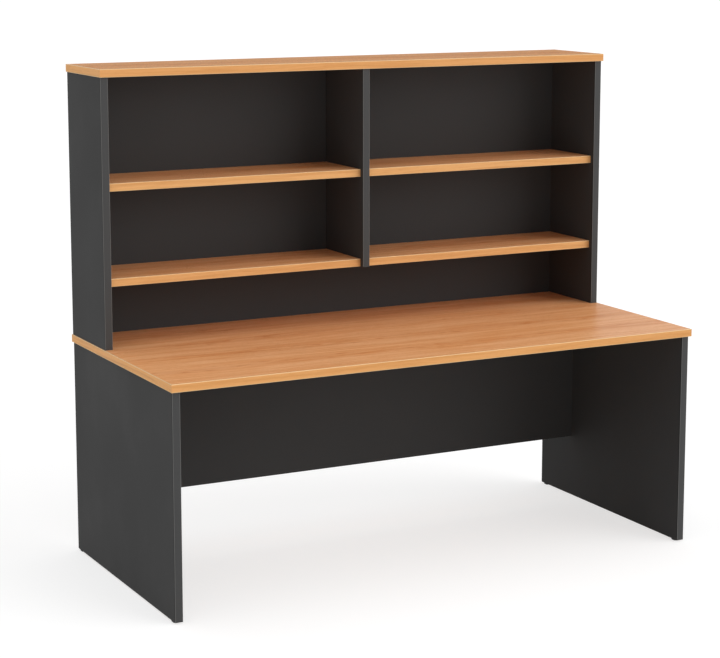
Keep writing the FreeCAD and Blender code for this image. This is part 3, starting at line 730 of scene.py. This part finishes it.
def thinnest_axis(name):
    """0, 1 or 2 for the axis along which the part is thinnest."""
    size = extent(name)
    return min(range(3), key=lambda axis: size[axis])


def cherry_strip(name):
    """The cherry strip finish that a wooden strip gets: the plain one, or a paler copy with painted light.
    """
    if name.startswith("shelf"):
        return cherry_edge_shelf_painted_light
    return cherry_edge_side_painted_light if longest_axis(name) == 1 else cherry_edge_long


def charcoal_board(name):
    """The finish of a dark board: those that stand side-on show the seams of their strips."""
    if thinnest_axis(name) == 1:
        return charcoal_cross
    return next(finish for kind, finish in charcoal_sides.items() if name.startswith(kind))


BY_SLOT = {
    "cherry_melamine": lambda name: cherry_dusty if name == "hutch_top_board" else cherry_board,
    "cherry_edging": cherry_strip,
    "charcoal_melamine": charcoal_board,
    "charcoal_edging": lambda name: (charcoal_edge_level, charcoal_edge_side,
                                     charcoal_edge_upright)[longest_axis(name)],
    "black_plastic": lambda name: moulded_black,
    "zinc_steel": lambda name: plated_steel,
    "beech": lambda name: pressed_beech,
}

finished = {}
for name, part in nodes.items():
    for material_slot in part.material_slots:
        chosen = BY_SLOT[material_slot.material.name.split(".")[0]](name)
        material_slot.material = chosen
        finished[chosen.name] = finished.get(chosen.name, 0) + 1
print("finishes handed out:", finished)

# %% [markdown]
# ## Threaded studs
# Each foot stands on a stud that screws up into a sleeve in the end panel. Wound in, all of
# it is hidden. Wound out to level the desk, up to twelve millimetres of it shows, and a plain
# rod would look wrong there. The thread could be a bump in the material, but its outline would
# stay straight, so it is cut as geometry.
#
# One pitch of the thread, five points from root to crest and back, is swept round the axis by
# spin, which rises one pitch in a turn. Each turn's last point falls on the next turn's first,
# and merging them closes the thread. The two open ends are filled flat, and the thread stops
# short of the stud's own height, so the piece keeps to the rod that it stands for.

# %% Threaded studs
THREAD_PITCH = 0.00125
THREAD_DEPTH = 0.00068
THREAD_FLAT = THREAD_PITCH / 8      # the narrow flat on the crest, and the one at the root
STEPS_A_TURN = 20
CORNERS = ("front_left", "rear_left", "front_right", "rear_right")


def threaded_stud(name, low, high):
    """A rod with a helical thread, kept inside the box from low to high."""
    middle = (low + high) / 2
    crest = (high.x - low.x) / 2
    root = crest - THREAD_DEPTH
    height = high.z - low.z
    turns = int(height / THREAD_PITCH) - 1
    half = THREAD_PITCH / 2
    profile = [(root, 0.0), (root, THREAD_FLAT), (crest, half), (crest, half + THREAD_FLAT),
               (root, THREAD_PITCH)]
    mesh = bmesh.new()
    start = low.z + (height - (turns + 1) * THREAD_PITCH) / 2
    points = [mesh.verts.new((middle.x + radius, middle.y, start + rise)) for radius, rise in profile]
    edges = [mesh.edges.new(pair) for pair in zip(points, points[1:])]
    bmesh.ops.spin(mesh, geom=points + edges, cent=(middle.x, middle.y, 0.0), axis=(0.0, 0.0, 1.0),
                   dvec=(0.0, 0.0, THREAD_PITCH / STEPS_A_TURN), angle=2 * math.pi * turns,
                   steps=STEPS_A_TURN * turns, use_merge=False, use_duplicate=False)
    bmesh.ops.remove_doubles(mesh, verts=mesh.verts, dist=THREAD_PITCH / 100)
    loops = [edge for edge in mesh.edges if edge.is_boundary]
    bmesh.ops.holes_fill(mesh, edges=loops, sides=0)
    bmesh.ops.recalc_face_normals(mesh, faces=mesh.faces)
    data = bpy.data.meshes.new(name)
    mesh.to_mesh(data)
    mesh.free()
    stud = bpy.data.objects.new(name, data)
    bpy.context.scene.collection.objects.link(stud)
    data.materials.append(plated_steel)
    return stud


for corner in CORNERS:
    stud = threaded_stud(f"threaded_stud_{corner}", *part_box(f"foot_stud_{corner}"))
    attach(stud, f"foot_{corner}")
    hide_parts(f"foot_stud_{corner}")
    print(stud.name, len(stud.data.polygons), "faces")

# %% [markdown]
# ## The studio
# A product like this is shown on a white sweep, where the floor and the wall are one and only
# the desk's own soft shadow marks the ground. Lighting a floor until it burns out would also
# burn out the desk. So the floor is lit like everything else, and only what the camera sees of
# it is lifted towards white: part of it glows, and the rest is ordinary paint that takes the
# shadow. The desk keeps a little light from the floor for metres around. The glow makes up for
# that, so the open floor is white and only the deeper part of the shadow shows.

# %% The floor
FLOOR_HALF = 60.0
FLOOR_PAINT = colour(235, 235, 235)
WHITE = (0.985, 0.985, 0.985, 1.0)
PAINT_SHARE = 0.55
OPEN_FLOOR = 1.08           # what the open floor would show if white were no limit
TENT_STRENGTH = 0.50
LAMPS = {
    "front_lamp": (Vector((0.676, -0.676, 0.292)), 0.52),
    "top_lamp": (Vector((0.0, 0.0, 1.0)), 0.266),
}
OPEN_LIGHT = TENT_STRENGTH + sum(way.z * strength for way, strength in LAMPS.values())
GLOW_STRENGTH = (OPEN_FLOOR - PAINT_SHARE * FLOOR_PAINT[0] * OPEN_LIGHT) / (1.0 - PAINT_SHARE)


def background_rays(wires):
    """1 for a ray that shows the white background: from the camera, off gloss or through glass."""
    rays = wires.add("ShaderNodeLightPath").outputs
    bounced = wires.sum("MAXIMUM", rays["Is Glossy Ray"], rays["Is Transmission Ray"])
    return wires.sum("MAXIMUM", rays["Is Camera Ray"], bounced)


def floor_finish():
    """Plain pale paint, lifted towards white for the camera and in reflections."""
    material = bpy.data.materials.new("studio_floor")
    material.use_nodes = True
    wires = Wiring(material.node_tree)
    material.node_tree.nodes.clear()
    paint = wires.add("ShaderNodeBsdfDiffuse", {"Color": FLOOR_PAINT})
    glow = wires.add("ShaderNodeEmission", {"Color": WHITE, "Strength": GLOW_STRENGTH})
    lifted = wires.add("ShaderNodeMixShader", {0: PAINT_SHARE, 1: glow.outputs[0], 2: paint.outputs[0]})
    seen = background_rays(wires)
    mixed = wires.add("ShaderNodeMixShader", {0: seen, 1: paint.outputs[0], 2: lifted.outputs[0]})
    wires.add("ShaderNodeOutputMaterial", {0: mixed.outputs[0]})
    return material


floor_mesh = bmesh.new()
bmesh.ops.create_grid(floor_mesh, x_segments=1, y_segments=1, size=FLOOR_HALF)
floor_data = bpy.data.meshes.new("studio_floor")
floor_mesh.to_mesh(floor_data)
floor_mesh.free()
floor = bpy.data.objects.new("studio_floor", floor_data)
floor_data.materials.append(floor_finish())
bpy.context.scene.collection.objects.link(floor)
print("floor", 2 * FLOOR_HALF, "m square")

# %% [markdown]
# ## Light
# About half of the light on the worktop comes from all round, as in a white tent. The rest is
# from two broad soft lamps, a low one at the right front and a weaker one overhead, and they
# give each bay its bright left end and its dark right one. They are sun lamps with very wide
# discs: their light reaches every part of the floor alike, and their shadows are as soft as
# those of a large softbox.

# %% World and lamps
LAMP_WIDTH = math.radians(60.0)

world = bpy.data.worlds.new("studio_tent")
world.use_nodes = True
bpy.context.scene.world = world
tent = Wiring(world.node_tree)
world.node_tree.nodes.clear()
soft = tent.add("ShaderNodeBackground", {"Color": WHITE, "Strength": TENT_STRENGTH})
bright = tent.add("ShaderNodeBackground", {"Color": WHITE, "Strength": 1.0})
both = tent.add("ShaderNodeMixShader",
                {0: background_rays(tent), 1: soft.outputs[0], 2: bright.outputs[0]})
tent.add("ShaderNodeOutputWorld", {0: both.outputs[0]})

for name, (way, strength) in LAMPS.items():
    lamp_data = bpy.data.lights.new(name, "SUN")
    lamp_data.energy = strength * math.pi
    lamp_data.angle = LAMP_WIDTH
    lamp = bpy.data.objects.new(name, lamp_data)
    lamp.rotation_euler = way.to_track_quat("Z", "Y").to_euler()
    bpy.context.scene.collection.objects.link(lamp)
bpy.context.scene.view_settings.view_transform = "Standard"
print("lamps ready")
